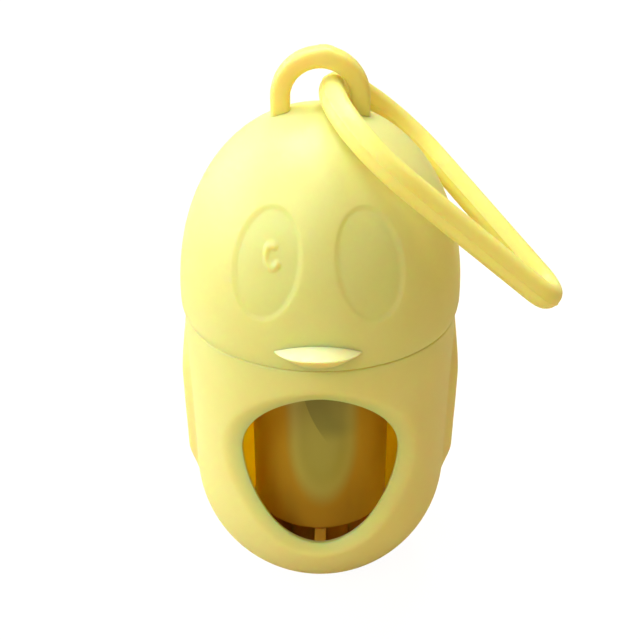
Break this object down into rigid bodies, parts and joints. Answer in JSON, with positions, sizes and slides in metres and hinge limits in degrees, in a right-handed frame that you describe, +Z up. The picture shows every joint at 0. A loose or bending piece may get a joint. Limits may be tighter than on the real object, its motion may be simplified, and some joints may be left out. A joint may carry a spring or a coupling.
{
  "type": "pet waste bag dispenser",
  "caption": "Capsule bag dispenser with a chick face, a push-on domed top, a roll of bags behind a front opening, a hanging loop and a closed strap ring.",
  "frame": {"origin": "centre of the flat foot under the lower shell", "axes": "+Z up through both shells, -Y out of the face and the front opening, +X towards the shoulder the strap ring rests on"},
  "size_m": [0.0642, 0.051, 0.0981],
  "materials": {
    "shell_plastic": "satin pastel yellow moulded plastic",
    "loop_plastic": "satin deeper yellow moulded plastic",
    "strap_rubber": "smooth yellow soft rubber",
    "core_board": "plain wound board tube",
    "bag_film": "wound thin film with a soft sheen"
  },
  "bodies": {
    "lower_shell": {"body_shell": "shell_plastic"},
    "upper_shell": {"cap_shell": "shell_plastic", "hanging_loop": "loop_plastic"},
    "strap": {"strap_ring": "strap_rubber"},
    "roll": {"roll_core": "core_board", "bag_film": "bag_film"}
  },
  "joints": [
    {"name": "cap_lift", "type": "slide", "parent": "lower_shell", "child": "upper_shell", "axis": [0, 0, 1], "range_m": [0, 0.04]},
    {"name": "strap_swing", "type": "hinge", "parent": "upper_shell", "child": "strap", "pos_m": [0.00178, 0.0012, 0.09139], "axis": [0, -1, 0], "range_deg": [0, 225]},
    {"name": "roll_spin", "type": "hinge", "parent": "lower_shell", "child": "roll", "pos_m": [0, 0, 0.0126], "axis": [0, 0, 1], "continuous": true}
  ]
}
